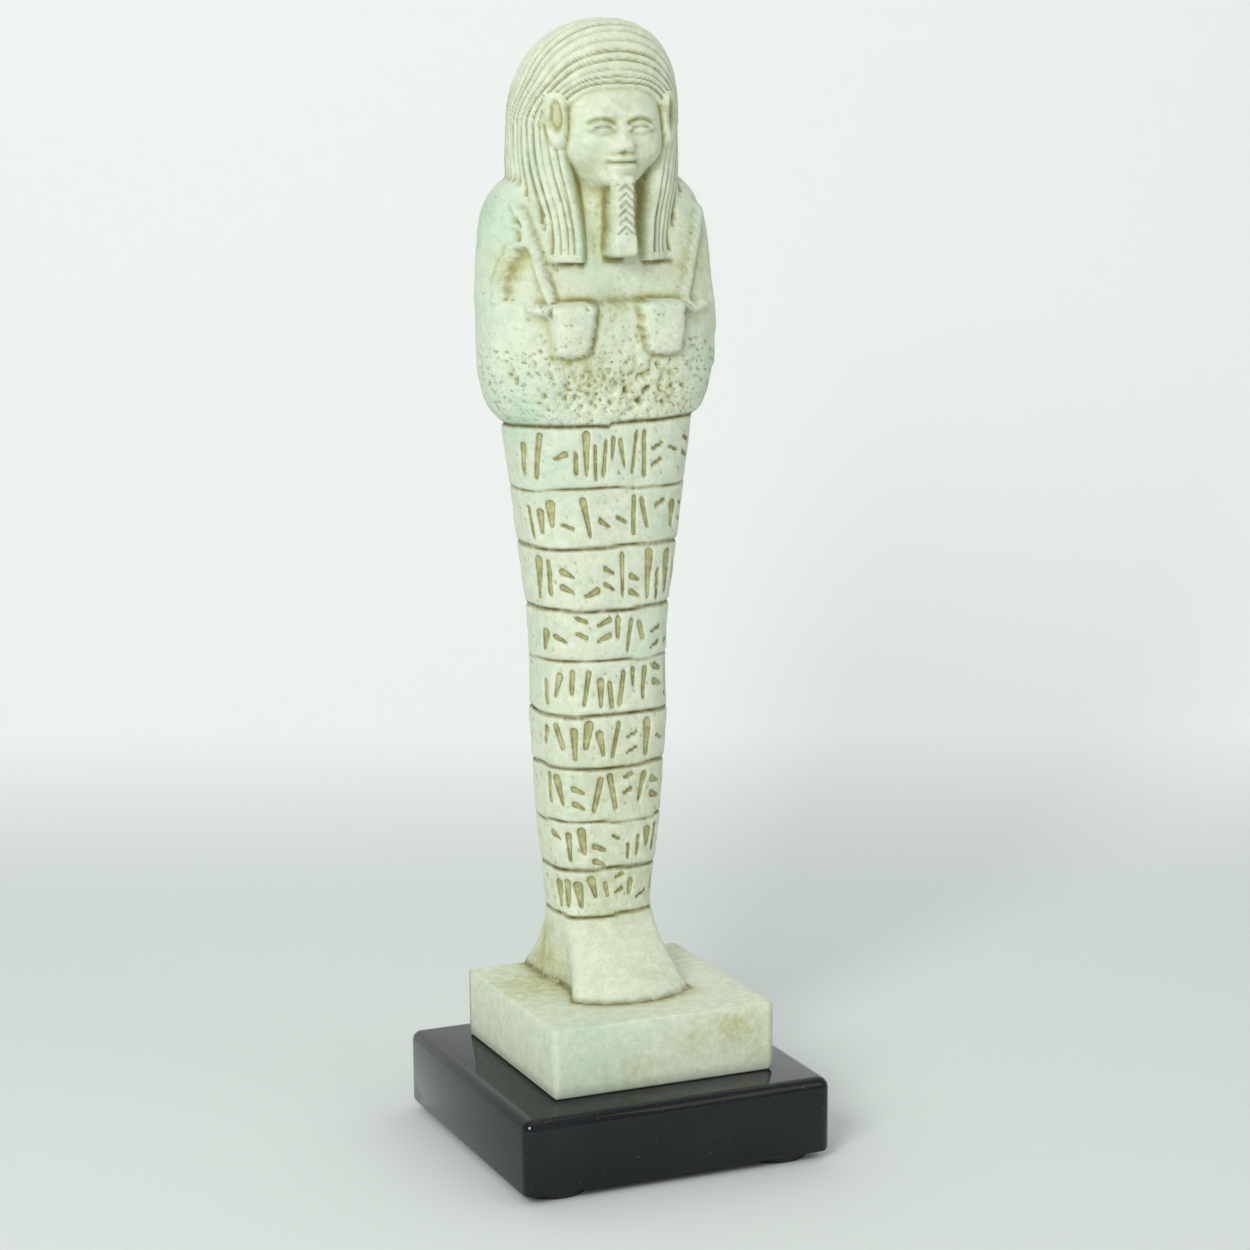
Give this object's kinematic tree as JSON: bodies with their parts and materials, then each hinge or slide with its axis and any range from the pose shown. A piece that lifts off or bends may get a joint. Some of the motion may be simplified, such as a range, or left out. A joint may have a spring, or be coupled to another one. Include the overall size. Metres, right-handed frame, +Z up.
{
  "type": "ushabti figurine",
  "caption": "Mummiform ushabti figurine with wig, false beard and crossed hands, cast in one with its square block, on a polished black plinth with round pads.",
  "frame": {"origin": "middle of the plinth, at the undersides of its pads", "axes": "+Z up along the figure, -Y out of its face, +X towards its left hand"},
  "size_m": [0.06, 0.06, 0.2056],
  "materials": {
    "cast_stone": "matte pale green cast with ochre wash in the recesses",
    "black_stone": "polished black",
    "pad_rubber": "dark satin rubber"
  },
  "bodies": {
    "root": {"ushabti": "cast_stone", "plinth": "black_stone", "foot_pad_front_left": "pad_rubber", "foot_pad_front_right": "pad_rubber", "foot_pad_back_left": "pad_rubber", "foot_pad_back_right": "pad_rubber"}
  },
  "joints": []
}
